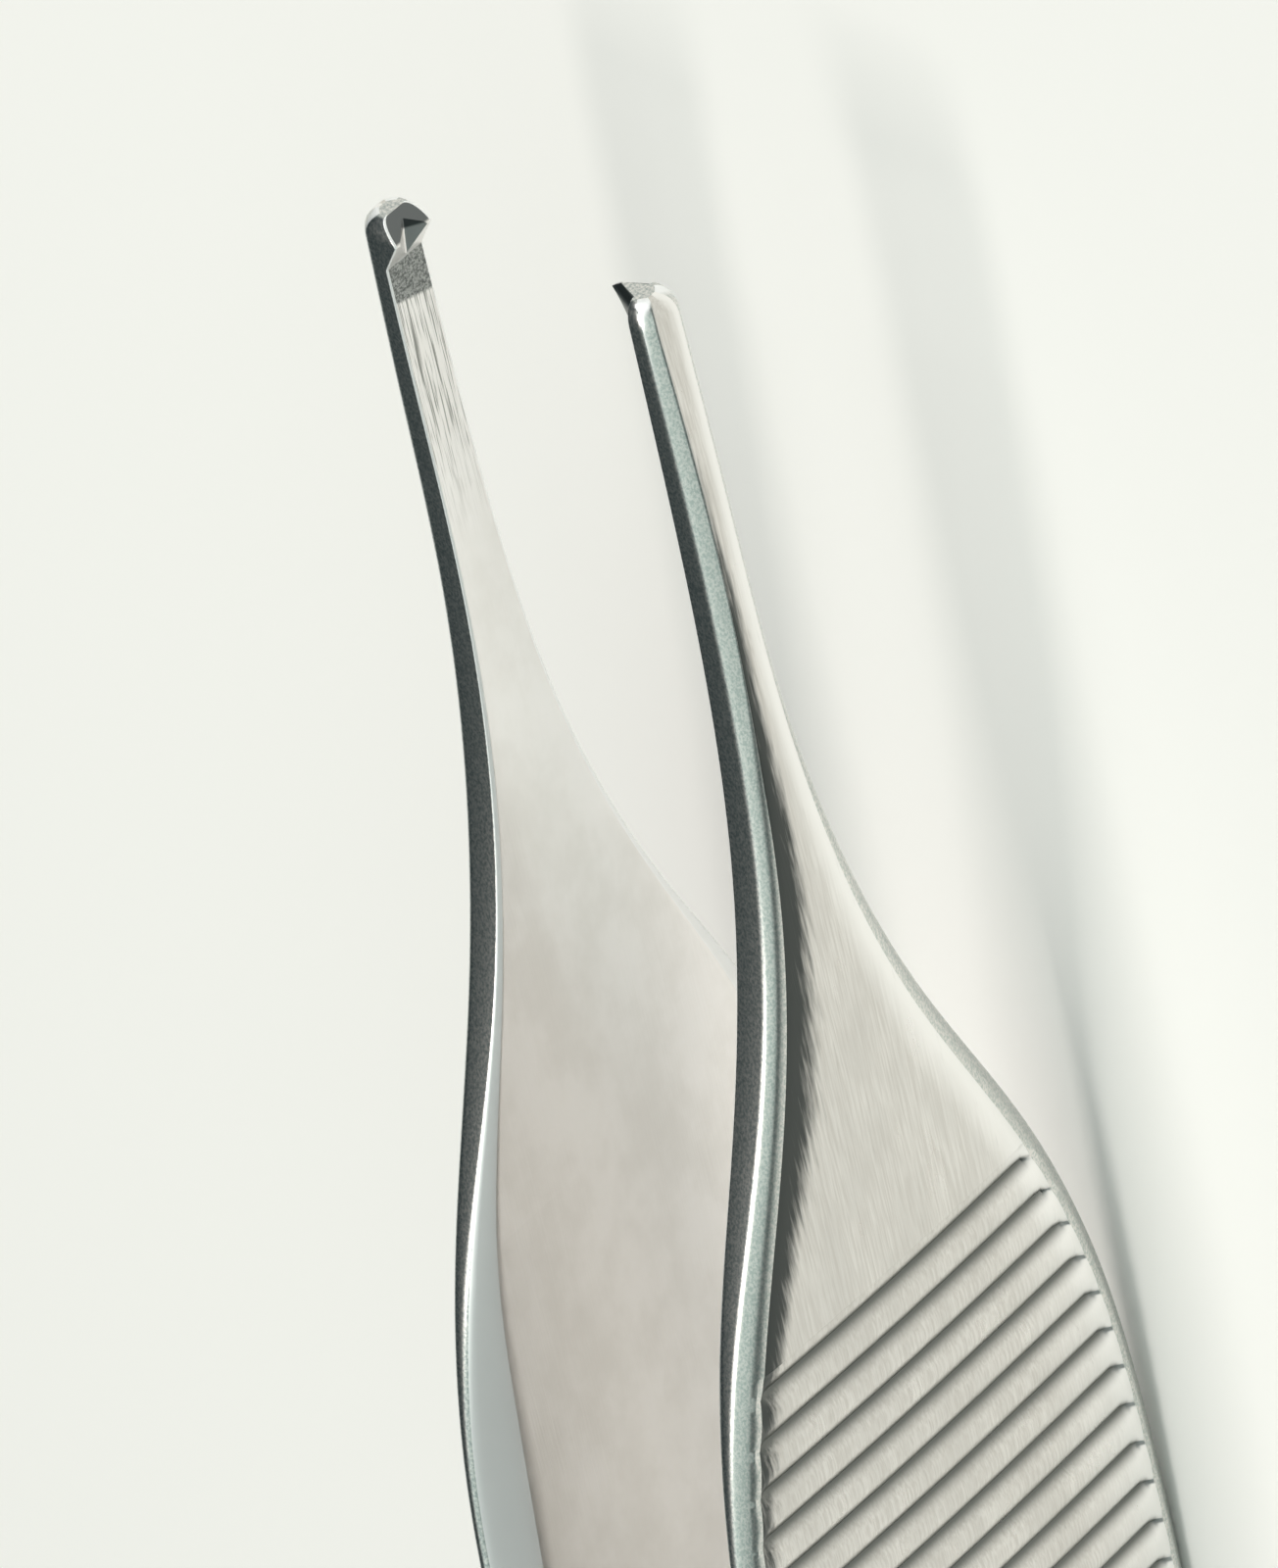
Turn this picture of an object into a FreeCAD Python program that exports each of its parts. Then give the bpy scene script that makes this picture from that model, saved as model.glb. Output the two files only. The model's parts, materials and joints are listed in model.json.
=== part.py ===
# Tissue forceps with broad serrated grips and one-into-two teeth, lying on its side.
#
# Two sprung steel arms are welded together at the heel. Each arm is one forging: a narrow
# heel, a broad thumb grip with cross grooves on its outer face, a shoulder that sweeps in
# to a slender jaw, and a bevel along every edge. One arm ends in two small teeth with a
# notch between them, and the other in a single tooth that closes into the notch.
#
# Frame, in millimetres: +X towards the tips, the arms lie side by side along Y, +Z up.
# The origin is under the middle of the length, on the surface that the forceps lies on.
# Each arm is drawn in its own frame first: X along the arm, Y outwards from the mid-plane
# between the arms, Z across the blade from its centre line.

import FreeCAD, Part
import os
import Sketcher

SIZES = {
    "overall_length": 120.0,
    # The heel, where the arms are welded together
    "heel_length": 11.0,
    "heel_width": 8.6,
    "heel_gap": 0.05,
    "heel_thickness": 1.2,
    "heel_bevel": 0.4,
    "heel_ease": 0.55,
    "heel_corner_radius": 2.8,
    # The broad grip, from its rear to the thumb rest just behind the shoulder
    "grip_back": 55.0,
    "grip_width": 11.5,
    "grip_gap": 3.2,
    "grip_thickness": 1.15,
    "grip_bevel": 0.47,
    "grip_ease": 1.0,
    "palm_back": 40.0,
    "palm_width": 12.3,
    "thumb_back": 35.0,
    "thumb_width": 12.22,
    "thumb_ease": 1.1,
    "shoulder_back": 30.0,
    "shoulder_width": 11.46,
    "flare_back": 25.0,
    "flare_width": 9.08,
    "flare_ease": 0.55,
    # The neck, which sweeps in to the jaw
    "neck_back": 20.0,
    "neck_width": 5.18,
    "neck_gap": 3.22,
    "neck_thickness": 1.13,
    "neck_bevel": 0.34,
    "neck_ease": 0.18,
    "throat_back": 15.0,
    "throat_width": 2.44,
    "throat_gap": 3.27,
    "throat_thickness": 1.05,
    "throat_bevel": 0.28,
    "throat_ease": 0.1,
    "jaw_back": 10.0,
    "jaw_width": 1.32,
    "jaw_gap": 3.32,
    "jaw_thickness": 0.89,
    "jaw_bevel": 0.27,
    "jaw_ease": 0.06,
    "nib_back": 5.0,
    "nib_width": 1.1,
    "nib_gap": 3.38,
    "nib_thickness": 0.78,
    "nib_bevel": 0.27,
    "nib_ease": 0.05,
    "tip_back": 1.15,
    "tip_width": 1.06,
    "tip_thickness": 0.62,
    "tip_bevel": 0.22,
    # The inner edges are eased by a shallow bevel: its drop is this share of its width
    "ease_slope": 0.4,
    # The outer faces are slightly crowned: the rise is this share of the flat's width
    "crown_share": 0.009,
    # The domed end of both jaws, from its brow to its blunt point
    "brow_back": 0.8,
    "brow_width": 0.84,
    "brow_thickness": 0.52,
    "brow_bevel": 0.18,
    "dome_back": 0.6,
    "dome_width": 0.5,
    "dome_thickness": 0.36,
    "dome_bevel": 0.13,
    # Two teeth with a notch between them, which runs out on the face behind the teeth
    "pair_reach": 0.44,
    "pair_brow_reach": 0.18,
    "pair_back": 1.12,
    "pair_root_back": 1.85,
    "notch_end_back": 2.15,
    "notch_slope": 0.15,
    "notch_flare": 1.4,
    # The single tooth
    "single_reach": 0.8,
    "single_hump": 0.52,
    "single_back": 0.2,
    "single_root_back": 1.75,
    "single_half_width": 0.34,
    "single_end_half_width": 0.2,
    "single_edge": 0.04,
    "single_depth": 0.36,
    # Cross grooves on the outer face of each grip
    "groove_first_back": 25.7,
    "groove_pitch": 1.15,
    "groove_depth": 0.2,
    "groove_count": 22,
    "ledge_drop": 0.06,
}

# A tooth stands out of the jaw by this much at its root, where it runs out, and the floor of
# the notch is twice NOTCH_FLOOR wide
ROOT_STEP = "0.02"
NOTCH_FLOOR = "0.015"

# The stations of the arm's form that have sizes of their own, and what each takes from
# another. Evenly spaced sections between them keep the form smooth: the sprung stretch has
# one less than SPRING_STEPS, and the grip one less than GRIP_STEPS.
JAW_STATIONS = ["palm", "thumb", "shoulder", "flare", "neck", "throat", "jaw", "nib", "tip"]
MEASURES = ["back", "width", "gap", "thickness", "bevel", "ease"]
SPRING_STEPS = 11
GRIP_STEPS = 3
BORROWED = {
    (station, what): f"grip_{what}"
    for station in ("palm", "thumb", "shoulder", "flare")
    for what in ("gap", "thickness", "bevel")
}
BORROWED["palm", "ease"] = "grip_ease"
BORROWED["shoulder", "ease"] = "thumb_ease"
for end_station in ("tip", "brow", "dome"):
    BORROWED[end_station, "gap"] = "nib_gap"
    BORROWED[end_station, "ease"] = "nib_ease"

doc = FreeCAD.newDocument("tissue_forceps")
sheet = doc.addObject("Spreadsheet::Sheet", "sizes")
for row, (alias, value) in enumerate(SIZES.items(), start=1):
    sheet.set(f"A{row}", alias)
    sheet.set(f"B{row}", str(value))
    sheet.setAlias(f"B{row}", alias)
doc.recompute()


def cell(alias):
    return f"sizes.{alias}"


def size_of(station, what):
    if (station, what) == ("heel", "back"):
        return "(sizes.overall_length - sizes.heel_length)"
    return cell(BORROWED.get((station, what), f"{station}_{what}"))


def at_back(expression):
    """The X of a place given by its distance behind the very tip."""
    return f"(sizes.overall_length / 2 - {expression})"


HEEL_FRONT = "(sizes.heel_length - sizes.overall_length / 2)"
HEEL_END = "(0 - sizes.overall_length / 2)"

# The forceps lies on the palms of its grips and on the side of its heel, so its centre line
# leans up towards the tips by the difference of their half widths over the distance between.
LEAN_RISE = "((sizes.palm_width - sizes.heel_width) / 2)"
LEAN_RUN = "(sizes.overall_length - sizes.heel_length - sizes.palm_back)"
LEAN_SLOPE = f"({LEAN_RISE} / {LEAN_RUN})"
LIFT = (f"((sizes.heel_width / 2 - {HEEL_FRONT} * {LEAN_SLOPE})"
        f" * cos(atan({LEAN_SLOPE})))")
LYING = f"rotation(vector(0; -1; 0); atan({LEAN_SLOPE}))"


def origin_plane(body, role):
    return next(item for item in body.Origin.OriginFeatures if item.Role == role)


def new_sketch(body, name, role, offset=None):
    """A sketch on one of the body's own planes, moved along the plane's normal."""
    sketch = body.newObject("Sketcher::SketchObject", name)
    sketch.AttachmentSupport = [(origin_plane(body, role), "")]
    sketch.MapMode = "FlatFace"
    if offset:
        sketch.setExpression("AttachmentOffset.Base.z", offset)
    return sketch


def number(sketch, expression):
    value = sketch.evalExpression(expression)
    return float(getattr(value, "Value", value))


def draw_outline(sketch, corners, bulges=None):
    """A closed outline through corners given as pairs of expressions.

    bulges maps the index of a side to the middle point of its arc, with the arc's radius.
    """
    bulges = bulges or {}
    points = [FreeCAD.Vector(number(sketch, x), number(sketch, y), 0) for x, y in corners]
    ends = []
    for index, start in enumerate(points):
        stop = points[(index + 1) % len(points)]
        if index not in bulges:
            side = sketch.addGeometry(Part.LineSegment(start, stop), False)
            ends.append(((side, 1), (side, 2)))
            continue
        middle, radius = bulges[index]
        crest = FreeCAD.Vector(number(sketch, middle[0]), number(sketch, middle[1]), 0)
        side = sketch.addGeometry(Part.Arc(start, crest, stop), False)
        forward = sketch.getPoint(side, 1).distanceToPoint(start) < 1e-6
        ends.append(((side, 1), (side, 2)) if forward else ((side, 2), (side, 1)))
        tie = Sketcher.Constraint("Radius", side, number(sketch, radius))
        sketch.setExpression(f"Constraints[{sketch.addConstraint(tie)}]", radius)
    for index, (x, y) in enumerate(corners):
        here = ends[index][0]
        before = ends[index - 1][1]
        sketch.addConstraint(Sketcher.Constraint("Coincident", *before, *here))
        for kind, expression in (("DistanceX", x), ("DistanceY", y)):
            tie = Sketcher.Constraint(kind, *here, number(sketch, expression))
            sketch.setExpression(f"Constraints[{sketch.addConstraint(tie)}]", expression)


def arm_section(body, name, back, width, gap, thickness, bevel, ease):
    """A section across the arm: bevelled outer edges, eased inner ones, a crowned face."""
    sketch = new_sketch(body, name, "YZ_Plane", back)
    half = f"({width} / 2)"
    drop = f"({ease} * sizes.ease_slope)"
    flat = f"({half} - {bevel})"
    rise = f"({flat} * 2 * sizes.crown_share)"
    outer = f"({gap} + {thickness})"
    brow = f"({outer} - {rise})"
    radius = f"(({flat} * {flat} + {rise} * {rise}) / (2 * {rise}))"
    corners = [
        (gap, f"({ease} - {half})"),
        (gap, f"({half} - {ease})"),
        (f"({gap} + {drop})", half),
        (f"({outer} - {bevel})", half),
        (brow, flat),
        (brow, f"(0 - {flat})"),
        (f"({outer} - {bevel})", f"(0 - {half})"),
        (f"({gap} + {drop})", f"(0 - {half})"),
    ]
    draw_outline(sketch, corners, {4: ((outer, "0"), radius)})
    return sketch


def station_section(body, station):
    back, *others = [size_of(station, what) for what in MEASURES]
    return arm_section(body, station, at_back(back), *others)


def sections_between(body, rear, front, steps, gap_bow=None):
    """Even sections from one station to the next, which they don't include.

    The sizes change evenly, and so does the gap unless gap_bow gives its expression.
    """
    sections = []
    for step in range(1, steps):
        back, *others = [
            f"({size_of(rear, what)} + ({size_of(front, what)} - {size_of(rear, what)})"
            f" * {step} / {steps})"
            for what in MEASURES
        ]
        if gap_bow:
            others[1] = gap_bow(step / steps)
        sections.append(arm_section(body, f"{rear}_{step}", at_back(back), *others))
    return sections


def spring_gap(share):
    """The sprung stretch bows out from the heel like a quarter of a sine wave."""
    return f"(sizes.heel_gap + (sizes.grip_gap - sizes.heel_gap) * sin({90 * share}))"


def loft(body, name, sketches, ruled, kind="PartDesign::AdditiveLoft"):
    feature = body.newObject(kind, name)
    feature.Profile = sketches[0]
    feature.Sections = sketches[1:]
    feature.Ruled = ruled
    doc.recompute()
    return feature


def cut_all_through(body, name, sketch):
    """Removes what stands over the sketch, to both sides of its plane."""
    before = body.Shape.Volume
    pocket = body.newObject("PartDesign::Pocket", name)
    pocket.Profile = sketch
    pocket.Type = "ThroughAll"
    pocket.Midplane = True
    doc.recompute()
    if not pocket.Shape.Volume < before:
        raise RuntimeError(f"{name} removes nothing")
    return pocket


def round_heel_corners(body):
    """The end of the heel is rounded across its width."""
    sketch = new_sketch(body, "heel_corner_outline", "XZ_Plane")
    end = HEEL_END
    radius = cell("heel_corner_radius")
    half = f"(sizes.heel_width / 2 - {LEAN_SLOPE} * sizes.heel_length)"
    bend = f"({radius} * (1 - cos(45)))"
    for side in ("1", "-1"):
        corners = [
            (f"({end} - sizes.heel_length)", f"({side} * ({half} - {radius}))"),
            (end, f"({side} * ({half} - {radius}))"),
            (f"({end} + {radius})", f"({side} * {half})"),
            (f"({end} + {radius})", f"({side} * ({half} + {radius}))"),
            (f"({end} - sizes.heel_length)", f"({side} * ({half} + {radius}))"),
        ]
        middle = (f"({end} + {bend})", f"({side} * ({half} - {bend}))")
        draw_outline(sketch, corners, {1: (middle, radius)})
    cut_all_through(body, "heel_corners", sketch)


def cut_grip_grooves(body):
    """Rounded ridges with sharp valleys between them, one groove repeated along the grip."""
    sketch = new_sketch(body, "groove_outline", "XY_Plane")
    half = "(sizes.groove_pitch / 2)"
    crest = "(sizes.grip_gap + sizes.grip_thickness - sizes.ledge_drop)"
    valley = f"({crest} - sizes.groove_depth)"
    centre = at_back(cell("groove_first_back"))
    radius = (f"(({half} * {half} + sizes.groove_depth * sizes.groove_depth)"
              f" / (2 * sizes.groove_depth))")
    fall = f"({radius} - sqrt({radius} * {radius} - {half} * {half} / 4))"
    corners = [
        (f"({centre} - {half})", crest),
        (centre, valley),
        (f"({centre} + {half})", crest),
        (f"({centre} + {half})", f"({crest} + sizes.grip_thickness)"),
        (f"({centre} - {half})", f"({crest} + sizes.grip_thickness)"),
    ]
    bulges = {
        0: ((f"({centre} - {half} / 2)", f"({crest} - {fall})"), radius),
        1: ((f"({centre} + {half} / 2)", f"({crest} - {fall})"), radius),
    }
    draw_outline(sketch, corners, bulges)
    groove = cut_all_through(body, "groove", sketch)
    row = body.newObject("PartDesign::LinearPattern", "grooves")
    row.Originals = [groove]
    row.Direction = (sketch, ["H_Axis"])
    row.Reversed = True
    row.setExpression("Length", "sizes.groove_pitch * (sizes.groove_count - 1)")
    row.setExpression("Occurrences", "sizes.groove_count")
    body.Tip = row
    doc.recompute()


def make_arm_blank():
    """What both arms share, up to the domed end of the jaw."""
    body = doc.addObject("PartDesign::Body", "arm_blank")
    heel_width = f"(sizes.heel_width - 2 * {LEAN_SLOPE} * sizes.heel_length)"
    heel = [cell(f"heel_{what}") for what in ("gap", "thickness", "bevel", "ease")]
    end = arm_section(body, "heel_end", HEEL_END, heel_width, *heel)
    front = arm_section(body, "heel_front", HEEL_FRONT, cell("heel_width"), *heel)
    blade = [front, *sections_between(body, "heel", "grip", SPRING_STEPS, spring_gap),
             station_section(body, "grip"), *sections_between(body, "grip", "palm", GRIP_STEPS),
             *[station_section(body, name) for name in JAW_STATIONS]]
    nose = [blade[-1], station_section(body, "brow"), station_section(body, "dome")]
    loft(body, "blade", blade, False)
    loft(body, "heel", [end, front], True)
    loft(body, "jaw_end", nose, True)
    round_heel_corners(body)
    cut_grip_grooves(body)
    return body


def wedge(body, name, back, apex, root, apex_half, root_half):
    """A four-cornered section of a tooth or of a notch, from its apex to its root."""
    sketch = new_sketch(body, name, "YZ_Plane", at_back(back))
    corners = [
        (apex, f"(0 - {apex_half})"),
        (apex, apex_half),
        (root, root_half),
        (root, f"(0 - {root_half})"),
    ]
    draw_outline(sketch, corners)
    return sketch


def arm_on_blank(name, blank, placement):
    body = doc.addObject("PartDesign::Body", name)
    body.Label = name
    body.BaseFeature = blank
    body.setExpression("Placement", placement)
    doc.recompute()
    return body


def make_arm_with_two_teeth(blank):
    """The jaw turns in to a beak, and a notch along its middle leaves two teeth."""
    placement = f"placement(vector(0; 0; {LIFT}); {LYING})"
    body = arm_on_blank("arm_with_two_teeth", blank, placement)
    face = cell("nib_gap")
    inside = "(sizes.nib_gap + sizes.dome_thickness / 2)"
    sections = []
    for name, back, reach, width in (
        ("beak_end", "dome_back", ROOT_STEP, "dome_width"),
        ("beak_brow", "brow_back", cell("pair_brow_reach"), "brow_width"),
        ("beak_point", "pair_back", cell("pair_reach"), "tip_width"),
        ("beak_root", "pair_root_back", ROOT_STEP, "tip_width"),
    ):
        half = f"(sizes.{width} / 2)"
        sections.append(wedge(body, name, cell(back), f"({face} - {reach})", inside, half, half))
    loft(body, "beak", sections, True)
    mouth = "(sizes.pair_reach * 1.4)"
    cutters = []
    for name, back in (("notch_top", "(sizes.dome_back / 2)"),
                       ("notch_end", cell("notch_end_back"))):
        rise = f"((sizes.notch_end_back - {back}) * sizes.notch_slope)"
        spread = f"(({mouth} - {rise}) * sizes.notch_flare)"
        cutters.append(wedge(body, name, back, f"({face} - {rise})", f"({face} - {mouth})",
                             NOTCH_FLOOR, spread))
    uncut = body.Shape.Volume
    loft(body, "notch", cutters, True, "PartDesign::SubtractiveLoft")
    if not body.Shape.Volume < uncut:
        raise RuntimeError("the notch removes nothing")
    return body


def make_arm_with_one_tooth(blank):
    """The jaw's end carries on into a single tooth, which narrows to a point."""
    placement = (f"placement(vector(0; 0; {LIFT});"
                 f" {LYING} * rotation(vector(1; 0; 0); 180))")
    body = arm_on_blank("arm_with_one_tooth", blank, placement)
    face = cell("nib_gap")
    edge = "(sizes.single_edge / 2)"
    wide = cell("single_half_width")
    narrow = cell("single_end_half_width")
    sections = []
    for name, back, reach, depth, half in (
        ("tooth_end", "0", cell("single_hump"), "(sizes.single_depth * 0.7)", narrow),
        ("tooth_point", cell("single_back"), cell("single_reach"), cell("single_depth"), wide),
        ("tooth_root", cell("single_root_back"), ROOT_STEP, cell("single_depth"), wide),
    ):
        sections.append(wedge(body, name, back, f"({face} - {reach})", f"({face} + {depth})",
                              edge, half))
    loft(body, "tooth", sections, True)
    return body


def make_heel_weld():
    """The weld metal between the arms, which also fills the groove along each edge."""
    body = doc.addObject("PartDesign::Body", "heel_weld")
    body.Label = "heel_weld"
    body.setExpression("Placement", f"placement(vector(0; 0; {LIFT}); {LYING})")
    gap = cell("heel_gap")
    deep = "(sizes.heel_gap + sizes.heel_ease * sizes.ease_slope)"
    taper = f"({LEAN_SLOPE} * sizes.heel_length)"
    seams = []
    for name, place, narrower in (("weld_end", HEEL_END, taper),
                                  ("weld_front", HEEL_FRONT, "0")):
        sketch = new_sketch(body, name, "YZ_Plane", place)
        half = f"(sizes.heel_width / 2 - {narrower})"
        root = f"({half} - sizes.heel_ease)"
        corners = [(gap, f"(0 - {root})"), (gap, root), (deep, half), (f"(0 - {deep})", half),
                   (f"(0 - {gap})", root), (f"(0 - {gap})", f"(0 - {root})"),
                   (f"(0 - {deep})", f"(0 - {half})"), (deep, f"(0 - {half})")]
        draw_outline(sketch, corners)
        seams.append(sketch)
    loft(body, "weld", seams, True)
    round_heel_corners(body)
    return body


arm_blank = make_arm_blank()
sub_parts = [
    make_arm_with_two_teeth(arm_blank),
    make_arm_with_one_tooth(arm_blank),
    make_heel_weld(),
]
doc.recompute()

for item in doc.Objects:
    if "Invalid" in item.State or "Error" in item.State:
        raise RuntimeError(f"{item.Name} failed: {item.State}")

os.makedirs("parts", exist_ok=True)
for part in sub_parts:
    shape = part.Shape
    if shape.isNull() or not shape.isValid():
        raise RuntimeError(f"{part.Label} has no valid shape")
    shape.exportStep(f"parts/{part.Label}.step")
    box = shape.BoundBox
    print(part.Label, "solids", len(shape.Solids), "volume", round(shape.Volume, 3),
          "X", round(box.XMin, 3), round(box.XMax, 3), "Y", round(box.YMin, 3),
          round(box.YMax, 3), "Z", round(box.ZMin, 3), round(box.ZMax, 3))
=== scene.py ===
# Looks of the satin steel tissue forceps, built round its imported CAD frame.
#
# Frame, in metres: +X towards the tips, the arms lie side by side along Y, +Z up. Each arm is
# shaped from the shut heel out to its own sprung body behind the grips.

import json
import math
from collections import namedtuple

import bmesh
import bpy
from mathutils import Matrix, Vector


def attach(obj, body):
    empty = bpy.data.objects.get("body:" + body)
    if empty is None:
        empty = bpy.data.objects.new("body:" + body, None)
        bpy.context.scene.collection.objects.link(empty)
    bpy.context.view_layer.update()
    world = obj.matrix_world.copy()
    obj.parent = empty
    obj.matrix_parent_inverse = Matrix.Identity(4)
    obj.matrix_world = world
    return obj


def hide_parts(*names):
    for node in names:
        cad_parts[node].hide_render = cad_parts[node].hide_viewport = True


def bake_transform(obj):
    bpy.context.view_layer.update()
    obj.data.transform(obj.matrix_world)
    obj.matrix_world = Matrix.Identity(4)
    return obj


bl_info = {
    "name": "Tissue Forceps",
    "version": (1, 0, 0),
    "blender": (4, 5, 0),
    "location": "3D View > Sidebar > Forceps",
    "description": "Finishes the packed tissue forceps in satin steel and sets it up in a "
                   "small studio",
    "category": "Object",
}

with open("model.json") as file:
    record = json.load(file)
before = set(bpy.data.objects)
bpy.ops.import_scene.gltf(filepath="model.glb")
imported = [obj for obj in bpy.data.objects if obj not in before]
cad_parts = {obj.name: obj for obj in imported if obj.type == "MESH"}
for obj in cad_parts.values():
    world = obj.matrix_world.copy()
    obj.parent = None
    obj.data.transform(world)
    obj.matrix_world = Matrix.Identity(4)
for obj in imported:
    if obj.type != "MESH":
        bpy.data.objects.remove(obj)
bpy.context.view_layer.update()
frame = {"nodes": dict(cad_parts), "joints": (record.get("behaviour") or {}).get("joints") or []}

MM = 0.001

# Where the arms are hinged; the first joint stands for both
HINGE = frame["joints"][0]
PIVOT = Vector(HINGE["pos_m"])

# The arm's form, in millimetres and in the arm's own frame: X along it with the very tip at
# HALF_LENGTH, Y outwards from between the arms, Z across the blade from its centre line.
HALF_LENGTH = 60.0
OVERALL_LENGTH = 2 * HALF_LENGTH
HEEL_FRONT = -49.0
HEEL_CORNER = 2.8
EASE_SLOPE = 0.4
EASE_ROUNDING = 0.3
CROWN_SHARE = 0.009

# Where the finishes of the inner face change, and where the painted shade on the ends of the
# teeth starts, in millimetres behind the tip, and how far the edge of the granular patch
# slants for each millimetre across
TOOTH_ENDS_BACK = 1.14
TEETH_BACK = 1.9
PATCH_BACK = 2.92
PATCH_SLANT = -0.27
FILED_BACK = 9.5

# The duller finish and the painted white sheen of the eased inner edges set in over this
# stretch along the arm, and end this far out, short of the bevels
EASE_ALONG = (0.0, 8.0)
EASE_OUT = (3.85, 3.7)

# The part of a noise's range that holds most of its values
SPREAD = (0.3, 0.7)

# Points of a mesh closer than this, in millimetres, are one: on the arms' skins, and on a
# copy of a solid
SKIN_MERGE = 0.0002
COPY_MERGE = 0.0005

# The floor reaches this many metres to each side, this many millimetres under the part
FLOOR_REACH = 3.0
FLOOR_DROP = 0.02

# A Mix node has several sockets of one name, so those for colours go by their numbers
MIX_LOW, MIX_HIGH, MIX_RESULT = 6, 7, 2


def linear(hex_colour):
    """The scene-linear RGBA of an sRGB hex colour."""
    shares = [int(hex_colour[start:start + 2], 16) / 255 for start in (1, 3, 5)]
    return tuple(share / 12.92 if share <= 0.04045 else ((share + 0.055) / 1.055) ** 2.4
                 for share in shares) + (1.0,)


def add_node(tree, kind, inputs=None, **settings):
    """A new node with its settings; an input is a value, or the socket that feeds it."""
    node = tree.nodes.new(kind)
    for name, value in settings.items():
        setattr(node, name, value)
    for name, value in (inputs or {}).items():
        if isinstance(value, bpy.types.NodeSocket):
            tree.links.new(value, node.inputs[name])
        else:
            node.inputs[name].default_value = value
    return node


def new_material(name):
    material = bpy.data.materials.new(name)
    material.use_nodes = True
    material.node_tree.nodes.clear()
    return material


def noise(tree, place, grain_mm, stretch=1.0, detail=3.0):
    """Noise over the steel, in grains of this width and stretched along the arm."""
    along = add_node(tree, "ShaderNodeMapping", {
        "Vector": place,
        "Scale": (1 / stretch, 1.0, 1.0),
    }).outputs["Vector"]
    return add_node(tree, "ShaderNodeTexNoise", {
        "Vector": along,
        "Scale": 1 / grain_mm,
        "Detail": detail,
        "Roughness": 0.6,
    }).outputs["Fac"]


def ramp(tree, value, start, stop, low=0.0, high=1.0):
    """A smooth change from low to high while the value goes from start to stop."""
    return add_node(tree, "ShaderNodeMapRange", {
        "Value": value,
        "From Min": start,
        "From Max": stop,
        "To Min": low,
        "To Max": high,
    }, interpolation_type="SMOOTHSTEP").outputs["Result"]


def times(tree, one, other):
    return add_node(tree, "ShaderNodeMath", {0: one, 1: other},
                    operation="MULTIPLY").outputs["Value"]


def blend_colour(tree, share, low, high):
    """A colour between two, each an sRGB hex text or the socket that gives it."""
    ends = [linear(colour) if isinstance(colour, str) else colour for colour in (low, high)]
    return add_node(tree, "ShaderNodeMix", {0: share, MIX_LOW: ends[0], MIX_HIGH: ends[1]},
                    data_type="RGBA").outputs[MIX_RESULT]


def finish_steel(tree, colour, roughness, relief, depth_mm):
    """Bare metal with this relief, the depth of which is given in millimetres."""
    bump = add_node(tree, "ShaderNodeBump", {
        "Height": relief,
        "Strength": 1.0,
        "Distance": depth_mm * MM,
    }).outputs["Normal"]
    steel = add_node(tree, "ShaderNodeBsdfPrincipled", {
        "Base Color": colour,
        "Metallic": 1.0,
        "Roughness": roughness,
        "Normal": bump,
    })
    add_node(tree, "ShaderNodeOutputMaterial", {"Surface": steel.outputs["BSDF"]})


def arm_place(tree):
    """Where a point of the skin lies in the arm's own frame, in millimetres."""
    return add_node(tree, "ShaderNodeAttribute", attribute_name="arm_place").outputs["Vector"]


def in_front_of(tree, along, back, blur):
    """1 in front of this distance behind the tip and 0 behind it, changing over the blur."""
    return ramp(tree, along, HALF_LENGTH - back, HALF_LENGTH - back + blur)


def brushed_outer_steel(colour, roughness):
    """Outer faces brushed lengthwise on a fibre wheel, which leaves strokes that catch the light
    where the face turns, and faint clouds. Painted shade darkens the grooves, a painted dark
    reflection runs beside one brow and a painted highlight beside the other."""
    material = new_material("brushed_outer_steel")
    tree = material.node_tree
    place = arm_place(tree)
    strokes = noise(tree, place, 0.055, stretch=28)
    clouds = noise(tree, place, 1.1, stretch=2.5, detail=4.0)
    # Painted light carried by the skin: painted shade in the grooves, a painted dark reflection
    # beside one brow and a painted highlight beside the other
    marks_and_painted_light = add_node(tree, "ShaderNodeAttribute", attribute_name="arm_painted_light").outputs["Vector"]
    groove, dark, bright = add_node(tree, "ShaderNodeSeparateXYZ", {"Vector": marks_and_painted_light}).outputs
    streaks = noise(tree, place, 0.09, stretch=14)
    frayed = add_node(tree, "ShaderNodeMath", {0: dark, 1: streaks},
                      operation="ADD").outputs["Value"]
    shade = blend_colour(tree, ramp(tree, clouds, *SPREAD), "#dcd9d5", colour)
    shade = blend_colour(tree, ramp(tree, strokes, *SPREAD), "#d2cec9", shade)
    # Painted highlight beside the other brow
    shade = blend_colour(tree, bright, shade, "#fbf9f7")
    # Painted dark reflection, frayed into streaks, beside one brow
    shade = blend_colour(tree, ramp(tree, frayed, 0.6, 1.35), shade, "#4c4f4e")
    # Painted shade down in the grooves, deeper where the groove is deeper
    shade = blend_colour(tree, ramp(tree, groove, 0.3, 0.95), shade, "#6f716e")
    gloss = ramp(tree, clouds, *SPREAD, roughness + 0.05, roughness - 0.03)
    finish_steel(tree, shade, gloss, strokes, 0.0028)
    return material


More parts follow.
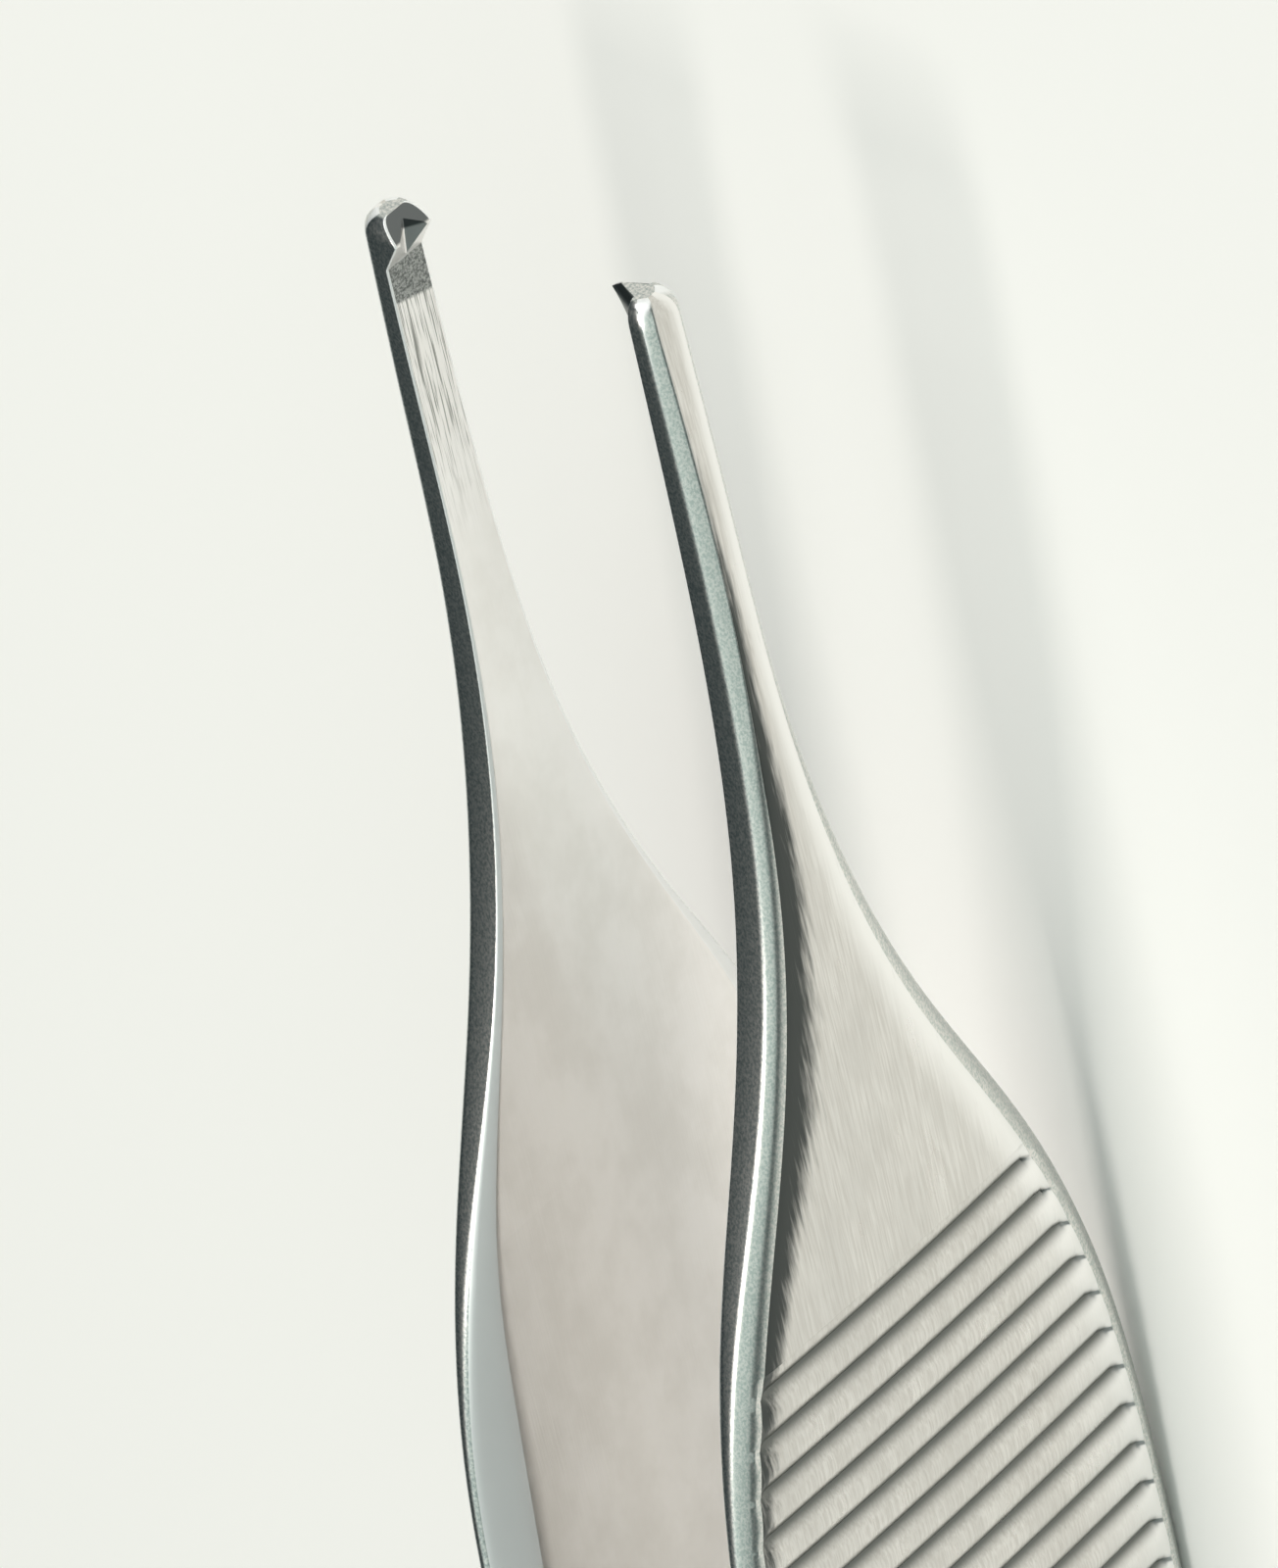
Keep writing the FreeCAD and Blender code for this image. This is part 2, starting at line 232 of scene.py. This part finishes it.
def ground_edge_steel(colour, roughness):
    """Bevels ground on a fine belt: a soft shine with a sparkle of fine grains. The eased
    edges inside the grip are duller, and painted white as a painted sheen, so they look paler
    than what they face."""
    material = new_material("ground_edge_steel")
    tree = material.node_tree
    place = arm_place(tree)
    split = add_node(tree, "ShaderNodeSeparateXYZ", {"Vector": place})
    inside = times(tree, ramp(tree, split.outputs["Y"], *EASE_OUT),
                   ramp(tree, split.outputs["X"], *EASE_ALONG))
    grains = noise(tree, place, 0.05, stretch=1.6)
    shade = blend_colour(tree, ramp(tree, grains, 0.35, 0.65), "#c2c8c4", colour)
    # Painted sheen: the eased inner edges are painted white, on top of their duller finish
    shade = blend_colour(tree, inside, shade, "#ffffff")
    gloss = ramp(tree, inside, 0.0, 1.0, roughness, 0.62)
    finish_steel(tree, shade, gloss, grains, 0.0016)
    return material


def ground_side_steel(colour, roughness):
    """Narrow sides left from the blanking, ground across: darker, with a mottled grain."""
    material = new_material("ground_side_steel")
    tree = material.node_tree
    place = arm_place(tree)
    grains = noise(tree, place, 0.06, stretch=1.3, detail=4.0)
    shade = blend_colour(tree, ramp(tree, grains, *SPREAD), "#a6adad", colour)
    finish_steel(tree, shade, roughness, grains, 0.0028)
    return material


def filed_inner_steel(colour, roughness):
    """Inner faces, satin along the grip, with lengthwise file strokes on the jaw, a granular
    patch behind the teeth, and painted shade on the ends of the teeth. Their steel is painted
    lighter all over, painted light that makes up for the shade between the arms."""
    material = new_material("filed_inner_steel")
    tree = material.node_tree
    place = arm_place(tree)
    split = add_node(tree, "ShaderNodeSeparateXYZ", {"Vector": place})
    along = split.outputs["X"]
    slant = add_node(tree, "ShaderNodeMath",
                     {0: split.outputs["Z"], 1: PATCH_SLANT, 2: along},
                     operation="MULTIPLY_ADD").outputs["Value"]
    behind_teeth = ramp(tree, in_front_of(tree, along, TEETH_BACK, 0.1), 1.0, 0.0)
    patch = times(tree, in_front_of(tree, slant, PATCH_BACK, 0.12), behind_teeth)
    filed = times(tree, in_front_of(tree, along, FILED_BACK, 5.0), behind_teeth)
    strokes = noise(tree, place, 0.05, stretch=40)
    marks_and_painted_light = noise(tree, place, 0.034, stretch=45, detail=2.0)
    grains = noise(tree, place, 0.05)
    clouds = noise(tree, place, 1.6, stretch=2.0, detail=4.0)
    # Painted light: both tones of the inner faces are the steel painted towards white, to make
    # up for the shade between the arms; the clouds pick between them
    painted_light_polished = blend_colour(tree, 0.9, colour, "#fffdfc")
    satin = blend_colour(tree, 0.4, colour, "#fffdfc")
    shade = blend_colour(tree, ramp(tree, clouds, *SPREAD), satin, painted_light_polished)
    shade = blend_colour(tree, times(tree, filed, ramp(tree, marks_and_painted_light, 0.52, 0.36)),
                         shade, "#949491")
    grit = blend_colour(tree, ramp(tree, grains, 0.34, 0.66), "#6f7271", "#b9bbb9")
    shade = blend_colour(tree, patch, shade, grit)
    # Painted shade on the ends of the teeth
    shade = blend_colour(tree, in_front_of(tree, along, TOOTH_ENDS_BACK, 0.08),
                         shade, "#6c6f70")
    relief = add_node(tree, "ShaderNodeMath", {0: strokes, 1: times(tree, filed, marks_and_painted_light)},
                      operation="ADD").outputs["Value"]
    gloss = ramp(tree, patch, 0.0, 1.0, roughness, 0.55)
    finish_steel(tree, shade, gloss, relief, 0.002)
    return material


def ground_weld_steel(colour, roughness):
    """Weld metal ground flush with the arms, a little duller than they are."""
    material = new_material("ground_weld_steel")
    tree = material.node_tree
    place = add_node(tree, "ShaderNodeTexCoord").outputs["Object"]
    grains = noise(tree, place, 0.12 * MM, stretch=1.5)
    shade = blend_colour(tree, ramp(tree, grains, *SPREAD), "#a9a7a3", colour)
    finish_steel(tree, shade, roughness, grains, 0.002)
    return material


def copy_of(node, name):
    """A merged copy of a CAD node's mesh, as a piece that stands for it."""
    mesh = frame["nodes"][node].data.copy()
    mesh.name = name
    mesh.materials.clear()
    shape = bmesh.new()
    shape.from_mesh(mesh)
    bmesh.ops.remove_doubles(shape, verts=shape.verts, dist=COPY_MERGE * MM)
    shape.to_mesh(mesh)
    shape.free()
    piece = bpy.data.objects.new(name, mesh)
    bpy.context.scene.collection.objects.link(piece)
    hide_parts(node)
    return piece


# What the arm's section measures at one distance behind the very tip
Station = namedtuple("Station", "back width gap thickness bevel ease rounding")

STATIONS = [
    Station(120.0, 8.01, 0.05, 1.2, 0.4, 0.55, 0.25),
    Station(109.0, 8.6, 0.05, 1.2, 0.4, 0.55, 0.25),
    Station(55.0, 11.5, 3.2, 1.15, 0.47, 1.0, 0.3),
    Station(40.0, 12.3, 3.2, 1.15, 0.47, 1.0, 0.35),
    Station(35.0, 12.22, 3.2, 1.15, 0.47, 1.1, 0.35),
    Station(30.0, 11.46, 3.2, 1.15, 0.47, 1.1, 0.35),
    Station(25.0, 9.08, 3.2, 1.15, 0.47, 0.55, 0.5),
    Station(20.0, 5.18, 3.22, 1.13, 0.34, 0.18, 0.6),
    Station(15.0, 2.44, 3.27, 1.05, 0.28, 0.1, 0.4),
    Station(10.0, 1.32, 3.32, 0.89, 0.27, 0.06, 0.07),
    Station(5.0, 1.1, 3.38, 0.78, 0.27, 0.05, 0.05),
    Station(1.15, 1.06, 3.38, 0.62, 0.22, 0.05, 0.05),
]
MEASURES = Station._fields[1:]

# Even steps between the heel and the grip, and between the grip and the palm
SPRING_STEPS = 11
GRIP_STEPS = 3

# Cross grooves of the grip: rounded ridges with sharp valleys
GROOVE_FIRST_BACK = 25.7
GROOVE_PITCH = 1.15
GROOVE_DEPTH = 0.2
GROOVE_COUNT = 22
LEDGE_DROP = 0.06
GROOVES_FRONT = GROOVE_FIRST_BACK - GROOVE_PITCH / 2
RINGS_PER_GROOVE = 14

# The rings of the skin outside the grooves: how far behind the tip the first one stands, the
# spacing, and how many there are
SPRING_RINGS = (116.0, 1.4, 43)
NECK_RINGS = (GROOVES_FRONT - 0.3, 0.3, 44)
JAW_RINGS = (11.6, 0.2, 48)
TIP_RINGS = (2.0, 0.05, 29)

# How far apart the two rings of the ledge at each end of the grooves stand, and how far the
# last ring keeps from the dome
LEDGE_WIDTH = 0.005
RING_CLEARANCE = 0.01

# Edges that turn by more than this many degrees stay sharp
SHARP_ANGLE = 28

# The domed end of each jaw: where it starts and ends, its half width there, and how far the
# outer face has turned in. The jaw with one tooth is blunter and reaches further.
PAIR_DOME = (1.15, 0.66, 0.26, 0.3)
SINGLE_DOME = (0.55, 0.02, 0.26, 0.3)
DOME_STEPS = 9

# The bevel takes up no more than this share of the half width
BEVEL_LIMIT = 0.6

# The two teeth turn in from the jaw's end, and a notch that rises to the face parts them. Each
# row has a distance behind the tip and how far in from the face the teeth reach there.
PAIR_REACHES = [(0.66, 0.04), (0.84, 0.2), (1.12, 0.44), (1.85, 0.0)]
NOTCH_END_BACK = 2.15
NOTCH_SLOPE = 0.15
NOTCH_FLARE = 1.4

# The single tooth, the share of the jaw's width that its foot takes up, and the reach at which
# it does so
SINGLE_REACHES = [(0.02, 0.5), (0.2, 0.8), (1.75, 0.0)]
SINGLE_FOOT = 0.8
FOOT_REACH = 0.1
TOOTH_EDGE = 0.02


def natural_spline(places, values):
    """A smooth curve through the values, as a function of the place."""
    count = len(places)
    steps = [places[i + 1] - places[i] for i in range(count - 1)]
    slopes = [(values[i + 1] - values[i]) / steps[i] for i in range(count - 1)]
    upper = [0.0] * count
    right = [0.0] * count
    for i in range(1, count - 1):
        pivot = 2 * (places[i + 1] - places[i - 1]) - steps[i - 1] * upper[i - 1]
        upper[i] = steps[i] / pivot
        right[i] = (6 * (slopes[i] - slopes[i - 1]) - steps[i - 1] * right[i - 1]) / pivot
    bends = [0.0] * count
    for i in range(count - 2, 0, -1):
        bends[i] = right[i] - upper[i] * bends[i + 1]

    def at(place):
        i = max(0, min(count - 2, sum(place >= known for known in places) - 1))
        step = steps[i]
        near = place - places[i]
        far = places[i + 1] - place
        return ((bends[i] * far ** 3 + bends[i + 1] * near ** 3) / (6 * step)
                + (values[i] / step - bends[i] * step / 6) * far
                + (values[i + 1] / step - bends[i + 1] * step / 6) * near)

    return at


def arm_measures():
    """Each measure of the section as a smooth function of the distance behind the tip."""
    heel, grip, palm = STATIONS[1:4]
    bow = grip.gap - heel.gap
    backs = [STATIONS[0].back]
    rows = [list(STATIONS[0][1:])]
    for rear, front, steps in ((heel, grip, SPRING_STEPS), (grip, palm, GRIP_STEPS)):
        for step in range(steps):
            share = step / steps
            backs.append(rear.back + (front.back - rear.back) * share)
            row = [low + (high - low) * share for low, high in zip(rear[1:], front[1:])]
            if rear is heel:
                row[MEASURES.index("gap")] = heel.gap + bow * math.sin(share * math.pi / 2)
            rows.append(row)
    for station in STATIONS[3:]:
        backs.append(station.back)
        rows.append(list(station[1:]))
    places = [-back for back in backs]
    return {name: natural_spline(places, [row[index] for row in rows])
            for index, name in enumerate(MEASURES)}


def groove_depth(back):
    """How deep the grooved face lies at this distance behind the tip."""
    along = (back - GROOVES_FRONT) / GROOVE_PITCH
    if not 0 <= along <= GROOVE_COUNT:
        return 0.0
    off_crest = abs(along - round(along)) * GROOVE_PITCH
    half = GROOVE_PITCH / 2
    radius = (half ** 2 + GROOVE_DEPTH ** 2) / (2 * GROOVE_DEPTH)
    return LEDGE_DROP + radius - math.sqrt(radius ** 2 - off_crest ** 2)


def spaced(start, spacing, count):
    """Distances behind the tip, from the start towards the tip."""
    return [start - spacing * step for step in range(count)]


def ring_backs():
    """Where the rings of the arm's skin stand, close together where its form is fine."""
    backs = [OVERALL_LENGTH - HEEL_CORNER * (1 - math.cos(math.radians(turn)))
             for turn in range(0, 91, 10)]
    backs += spaced(*SPRING_RINGS)
    grooves_rear = GROOVE_FIRST_BACK + GROOVE_PITCH * (GROOVE_COUNT - 0.5)
    backs.append(grooves_rear + LEDGE_WIDTH)
    backs += spaced(grooves_rear, GROOVE_PITCH / RINGS_PER_GROOVE,
                    GROOVE_COUNT * RINGS_PER_GROOVE + 1)
    backs.append(GROOVES_FRONT - LEDGE_WIDTH)
    for rings in (NECK_RINGS, JAW_RINGS, TIP_RINGS):
        backs += spaced(*rings)
    return backs


# Beside one brow a dark, streaked band of painted reflection stands for the dark surroundings
# that the turning face mirrors, and beside the other a painted highlight makes the steel
# bright: how wide they are and how strong, behind the tip
DARK_WIDTHS = [(1.0, 0.12), (10.0, 0.35), (15.0, 0.9), (20.0, 1.3), (25.0, 0.8), (32.0, 0.45),
               (60.0, 0.35)]
DARK_SHARES = [(2.0, 0.0), (8.0, 0.8), (14.0, 1.0), (23.0, 1.0), (30.0, 0.7), (60.0, 0.6)]
BRIGHT_WIDTHS = [(1.0, 0.25), (10.0, 0.4), (20.0, 0.9), (40.0, 1.3), (60.0, 1.3)]

# A band has faded out at this multiple of its width, and starts to fade one width before it
BAND_FADE = 1.2

# The grooves run out over this distance, which ends just past the brows of the bevels, and
# over no more than this share of the flat part's half width
GROOVE_RUN_OUT = 0.4
GROOVE_PAST_BROW = 0.08
RUN_OUT_LIMIT = 0.4
RUN_OUT_STEPS = 4
CROWN_STEPS = 6
CORNER_STEPS = 4
SIDE_ROUNDING = 0.11
ROUNDING_LIMIT = 0.45

# The corners of the section are counted from the lower end of the inner face's eased edge, in
# the order in which arm_ring lists them
INNER_FACE_START, UPPER_BROW, LOWER_BROW = 1, 5, 6
NO_PAINTED_LIGHT = (0, 0, 0)

# The finish of the strip after each corner of the section: edges and bevels, the inner face,
# the narrow sides and the outer face
OUTER, EDGE, SIDE, INNER = range(4)
ZONES = [EDGE, INNER, EDGE, SIDE, EDGE, OUTER, EDGE, SIDE]


def between(place, points):
    """The value at a place, on the straight lines that join points of places and values."""
    for (start, low), (stop, high) in zip(points, points[1:]):
        if place <= stop:
            return low + (high - low) * max(0.0, (place - start) / (stop - start))
    return points[-1][1]


def eased(share):
    """A share kept between 0 and 1, which starts and stops softly."""
    share = min(1.0, max(0.0, share))
    return share ** 2 * (3 - 2 * share)


def rounded_corner(before, corner, after, reach):
    """The corner's place taken by a short curve that starts and ends along its sides."""
    ends = []
    for other in (before, after):
        side = other - corner
        ends.append(corner + side * min(reach / max(side.length, 1e-9), ROUNDING_LIMIT))
    shares = [step / CORNER_STEPS for step in range(CORNER_STEPS + 1)]
    return [ends[0] * (1 - share) ** 2 + corner * 2 * share * (1 - share) + ends[1] * share ** 2
            for share in shares]


def arm_ring(back, half, gap, outer, bevel, ease, rounding, middle, middle_half):
    """The arm's section as rows of how far out, how far across, and the painted light on the
    face: painted shade in the grooves, a painted dark reflection and a painted highlight.

    It starts at the lower inner edge and goes round. middle is how far out the middle of the
    inner face stands: less than the gap for a tooth, and more for a notch, which is twice
    middle_half wide at the face.
    """
    flat = half - bevel
    rise = flat * 2 * CROWN_SHARE
    brow = outer - rise
    drop = ease * EASE_SLOPE
    corners = [Vector(pair) for pair in (
        (gap + drop, -half), (gap, ease - half), (gap, half - ease), (gap + drop, half),
        (outer - bevel, half), (brow, flat), (brow, -flat), (outer - bevel, -half))]
    reaches = [ease * EASE_ROUNDING] * 4 + [SIDE_ROUNDING, rounding, rounding, SIDE_ROUNDING]
    deep = groove_depth(back)

    def sunk(out, across):
        share = eased((flat + GROOVE_PAST_BROW - abs(across)) / GROOVE_RUN_OUT)
        depth = deep * share
        width, strength = (DARK_WIDTHS, DARK_SHARES) if across < 0 else (BRIGHT_WIDTHS, None)
        near = eased(BAND_FADE - (flat - abs(across)) / between(back, width))
        if strength:
            near *= between(back, strength)
        # Painted light for the outer face: how deep the groove lies, for painted shade, then the
        # painted dark reflection and the painted highlight beside the brows
        marks_and_painted_light = (depth / (GROOVE_DEPTH + LEDGE_DROP), near if across < 0 else 0.0,
                 0.0 if across < 0 else near)
        return out - depth, across, marks_and_painted_light

    points = []
    for index, (corner, reach) in enumerate(zip(corners, reaches)):
        curve = rounded_corner(corners[index - 1], corner, corners[(index + 1) % len(corners)],
                               reach)
        on_brow = index in (UPPER_BROW, LOWER_BROW)
        points += [sunk(out, across) if on_brow else (out, across, NO_PAINTED_LIGHT)
                   for out, across in curve]
        if index == INNER_FACE_START:
            points += [(gap, -middle_half, NO_PAINTED_LIGHT), (middle, -TOOTH_EDGE, NO_PAINTED_LIGHT),
                       (middle, TOOTH_EDGE, NO_PAINTED_LIGHT), (gap, middle_half, NO_PAINTED_LIGHT)]
        if index == UPPER_BROW:
            start = curve[-1][1]
            run_out = min(GROOVE_RUN_OUT, start * RUN_OUT_LIMIT)
            level = start - run_out
            spots = [start - run_out * step / RUN_OUT_STEPS
                     for step in range(1, RUN_OUT_STEPS + 1)]
            spots += [level - 2 * level * step / CROWN_STEPS for step in range(1, CROWN_STEPS)]
            spots += [-spot for spot in reversed(spots[:RUN_OUT_STEPS])]
            points += [sunk(brow + rise * (1 - (across / start) ** 2), across)
                       for across in spots]
    return points


def skin_zones():
    """Which finish each strip of the skin has, in the order of the section's points."""
    zones = []
    for index, (before, after) in enumerate(zip(ZONES[-1:] + ZONES[:-1], ZONES)):
        half_way = CORNER_STEPS // 2
        zones += [before] * half_way + [after] * (CORNER_STEPS - half_way + 1)
        if index == INNER_FACE_START:
            zones += [after] * 4
        if index == UPPER_BROW:
            zones += [after] * (2 * RUN_OUT_STEPS + CROWN_STEPS - 1)
    return zones


def jaw_end(back, two_teeth, half, gap, outer):
    """The section near the tip: its half width, inner and outer faces, and the middle of the
    inner face with its half width there, where a ridge or a notch runs along it."""
    start, end, end_half, drop = PAIR_DOME if two_teeth else SINGLE_DOME
    if back < start:
        sine = min(1.0, (start - back) / (start - end))
        cosine = math.sqrt(1 - sine ** 2)
        half = end_half + (half - end_half) * cosine
        outer -= drop * (1 - cosine)
    if two_teeth:
        face = gap - between(back, PAIR_REACHES)
        floor = max(face, gap - NOTCH_SLOPE * (NOTCH_END_BACK - back))
        return half, face, outer, floor, TOOTH_EDGE + NOTCH_FLARE * (floor - face)
    reach = between(back, SINGLE_REACHES)
    foot = half * SINGLE_FOOT - TOOTH_EDGE
    return half, gap, outer, gap - reach, TOOTH_EDGE + foot * min(1.0, reach / FOOT_REACH)


def arm_rings(two_teeth):
    """The rings of one arm's skin, from the end of the heel to the tip."""
    measure = arm_measures()
    start, end = (PAIR_DOME if two_teeth else SINGLE_DOME)[:2]
    backs = [back for back in ring_backs() if back > start + RING_CLEARANCE]
    backs += [start - (start - end) * math.sin(math.radians(90 * step / DOME_STEPS))
              for step in range(DOME_STEPS + 1)]
    rings = []
    for back in backs:
        size = {name: curve(-back) for name, curve in measure.items()}
        half = size["width"] / 2
        gap = size["gap"]
        outer = gap + size["thickness"]
        if back > OVERALL_LENGTH - HEEL_CORNER:
            inset = HEEL_CORNER - (OVERALL_LENGTH - back)
            half -= HEEL_CORNER - math.sqrt(max(HEEL_CORNER ** 2 - inset ** 2, 0))
        middle, middle_half = gap, TOOTH_EDGE
        if back < NOTCH_END_BACK:
            half, gap, outer, middle, middle_half = jaw_end(back, two_teeth, half, gap, outer)
        bevel = min(size["bevel"], half * BEVEL_LIMIT)
        section = arm_ring(back, half, gap, outer, bevel, size["ease"], size["rounding"],
                           middle, middle_half)
        rings.append([(Vector((HALF_LENGTH - back, out, across)), Vector(marks_and_painted_light))
                      for out, across, marks_and_painted_light in section])
    return rings


def arm_skin(name, rings, turn):
    """The arm's skin over its rings, closed at both ends."""
    columns = len(rings[0])
    rows = len(rings) - 1
    skin = bmesh.new()
    bmesh.ops.create_grid(skin, x_segments=columns, y_segments=rows, size=1.0)
    place_of = skin.verts.layers.float_vector.new("arm_place")
    painted_light_of = skin.verts.layers.float_vector.new("arm_painted_light")
    zones = skin_zones()
    for face in skin.faces:
        column = int((face.calc_center_median().x + 1) / 2 * columns)
        face.material_index = zones[column]
    for vert in skin.verts:
        column = round((vert.co.x + 1) / 2 * columns) % columns
        row = round((vert.co.y + 1) / 2 * rows)
        vert.co, vert[painted_light_of] = rings[row][column]
        vert[place_of] = vert.co
    bmesh.ops.remove_doubles(skin, verts=skin.verts, dist=SKIN_MERGE)
    bmesh.ops.holes_fill(skin, edges=skin.edges, sides=0)
    bmesh.ops.recalc_face_normals(skin, faces=skin.faces)
    lean = math.asin(abs(HINGE["axis"][0]))
    place = (Matrix.Translation(PIVOT) @ Matrix.Rotation(-lean, 4, "Y")
             @ Matrix.Rotation(math.radians(turn), 4, "X")
             @ Matrix.Diagonal((MM, MM, MM, 1)) @ Matrix.Translation((-HEEL_FRONT, 0, 0)))
    bmesh.ops.transform(skin, matrix=place, verts=skin.verts)
    for face in skin.faces:
        face.smooth = True
    mesh = bpy.data.meshes.new(name)
    skin.to_mesh(mesh)
    skin.free()
    mesh.set_sharp_from_angle(angle=math.radians(SHARP_ANGLE))
    piece = bpy.data.objects.new(name, mesh)
    bpy.context.scene.collection.objects.link(piece)
    shading = piece.modifiers.new("even shading", "WEIGHTED_NORMAL")
    shading.keep_sharp = True
    return piece


def spring_between(piece):
    """The arm's placing, baked into its mesh."""
    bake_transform(piece)


class ForcepsFinish(bpy.types.PropertyGroup):
    """The colours and the gloss that a user may change"""
    steel: bpy.props.FloatVectorProperty(
        name="Steel", description="Colour of the satin steel", subtype="COLOR",
        size=4, min=0, max=1, default=linear("#e8e5e1"))
    roughness: bpy.props.FloatProperty(
        name="Roughness", description="Roughness of the brushed faces", subtype="FACTOR",
        min=0.05, max=0.9, default=0.3)
    floor: bpy.props.FloatVectorProperty(
        name="Floor", description="Colour of the matt floor", subtype="COLOR",
        size=4, min=0, max=1, default=linear("#f0eeeb"))


class FORCEPS_OT_arms(bpy.types.Operator):
    """Dress both arms in satin steel"""
    bl_idname = "forceps.arms"
    bl_label = "Arms"

    def execute(self, context):
        finish = context.scene.forceps_finish
        steels = [kind(finish.steel, finish.roughness) for kind in (
            brushed_outer_steel, ground_edge_steel, ground_side_steel, filed_inner_steel)]
        for node, body, turn in (("arm_with_two_teeth", "two_toothed_arm", 0),
                                 ("arm_with_one_tooth", "one_toothed_arm", 180)):
            piece = arm_skin(f"{body}_steel", arm_rings(body == "two_toothed_arm"), turn)
            for steel in steels:
                piece.data.materials.append(steel)
            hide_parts(node)
            spring_between(piece)
        return {"FINISHED"}


class FORCEPS_OT_weld(bpy.types.Operator):
    """Dress the weld that joins the arms at the heel"""
    bl_idname = "forceps.weld"
    bl_label = "Heel Weld"

    def execute(self, context):
        finish = context.scene.forceps_finish
        piece = copy_of("heel_weld", "heel_weld_ground")
        piece.data.materials.append(
            ground_weld_steel(finish.steel, min(finish.roughness + 0.06, 1.0)))
        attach(piece, "heel")
        return {"FINISHED"}


class FORCEPS_OT_stage(bpy.types.Operator):
    """Set up the floor, the soft light and the camera"""
    bl_idname = "forceps.stage"
    bl_label = "Stage"

    def execute(self, context):
        scene = context.scene
        scene.view_settings.view_transform = "Standard"
        floor_shape = bmesh.new()
        bmesh.ops.create_grid(floor_shape, x_segments=1, y_segments=1, size=FLOOR_REACH)
        bmesh.ops.translate(floor_shape, verts=floor_shape.verts, vec=(0, 0, -FLOOR_DROP * MM))
        mesh = bpy.data.meshes.new("floor")
        floor_shape.to_mesh(mesh)
        floor_shape.free()
        floor = bpy.data.objects.new("floor", mesh)
        scene.collection.objects.link(floor)
        paint = new_material("matt_paint")
        tree = paint.node_tree
        matt = add_node(tree, "ShaderNodeBsdfPrincipled", {
            "Base Color": scene.forceps_finish.floor,
            "Roughness": 0.9,
        })
        add_node(tree, "ShaderNodeOutputMaterial", {"Surface": matt.outputs["BSDF"]})
        mesh.materials.append(paint)

        world = bpy.data.worlds.new("studio")
        scene.world = world
        world.use_nodes = True
        tree = world.node_tree
        tree.nodes.clear()
        # A large soft box over the side of the one-toothed arm, weaker towards the tips, and
        # a low glow all round; the rest is dark, which the narrow sides of the arms mirror
        way = add_node(tree, "ShaderNodeTexCoord").outputs["Generated"]
        split = add_node(tree, "ShaderNodeSeparateXYZ", {"Vector": way})
        side = times(tree, ramp(tree, split.outputs["Y"], 0.3, -0.1),
                     ramp(tree, split.outputs["X"], 0.8, 0.2, 0.4, 1.0))
        softbox = times(tree, side, ramp(tree, split.outputs["Z"], 0.36, 0.56))
        low = ramp(tree, split.outputs["Z"], 0.14, 0.04, 0.0, 0.6)
        light = add_node(tree, "ShaderNodeMath", {0: softbox, 1: low},
                         operation="MAXIMUM").outputs["Value"]
        tint = blend_colour(tree, light, "#2f3b3d", "#dcebe5")
        glow = add_node(tree, "ShaderNodeBackground", {"Color": tint, "Strength": 1.0})
        add_node(tree, "ShaderNodeOutputWorld", {"Surface": glow.outputs["Background"]})

        aim = Vector((45, 0, 0)) * MM
        for name, place, size, power, colour in (
            ("top", (40, 0, 650), 0.3, 2.2, "#fffaf4"),
            ("tips side", (620, 0, 420), 0.35, 2.0, "#ffffff"),
        ):
            lamp = bpy.data.lights.new(name, "AREA")
            lamp.shape = "SQUARE"
            lamp.size = size
            lamp.energy = power
            lamp.color = linear(colour)[:3]
            stand = bpy.data.objects.new(name, lamp)
            scene.collection.objects.link(stand)
            stand.location = Vector(place) * MM
            stand.rotation_euler = (aim - stand.location).to_track_quat("-Z", "Y").to_euler()

        view = bpy.data.cameras.new("camera")
        view.sensor_width = 36
        view.lens = 323.0
        view.clip_start = 0.01
        view.clip_end = 20
        camera = bpy.data.objects.new("camera", view)
        scene.collection.objects.link(camera)
        camera.location = Vector((220.98, -167.28, 149.25)) * MM
        camera.rotation_euler = [math.radians(turn) for turn in (-47.505, 41.412, -102.486)]
        scene.camera = camera
        return {"FINISHED"}


class FORCEPS_PT_sidebar(bpy.types.Panel):
    """The settings and steps, in the sidebar of the 3D view"""
    bl_idname = "FORCEPS_PT_sidebar"
    bl_label = "Tissue Forceps"
    bl_space_type = "VIEW_3D"
    bl_region_type = "UI"
    bl_category = "Forceps"

    def draw(self, context):
        finish = context.scene.forceps_finish
        for name in ("steel", "roughness", "floor"):
            self.layout.prop(finish, name)
        for operator in ("forceps.arms", "forceps.weld", "forceps.stage"):
            self.layout.operator(operator)


CLASSES = (ForcepsFinish, FORCEPS_OT_arms, FORCEPS_OT_weld, FORCEPS_OT_stage, FORCEPS_PT_sidebar)


def register():
    for kind in CLASSES:
        bpy.utils.register_class(kind)
    bpy.types.Scene.forceps_finish = bpy.props.PointerProperty(type=ForcepsFinish)


def unregister():
    del bpy.types.Scene.forceps_finish
    for kind in reversed(CLASSES):
        bpy.utils.unregister_class(kind)


def main():
    register()
    bpy.ops.forceps.arms()
    bpy.ops.forceps.weld()
    bpy.ops.forceps.stage()


if __name__ == "__main__":
    main()
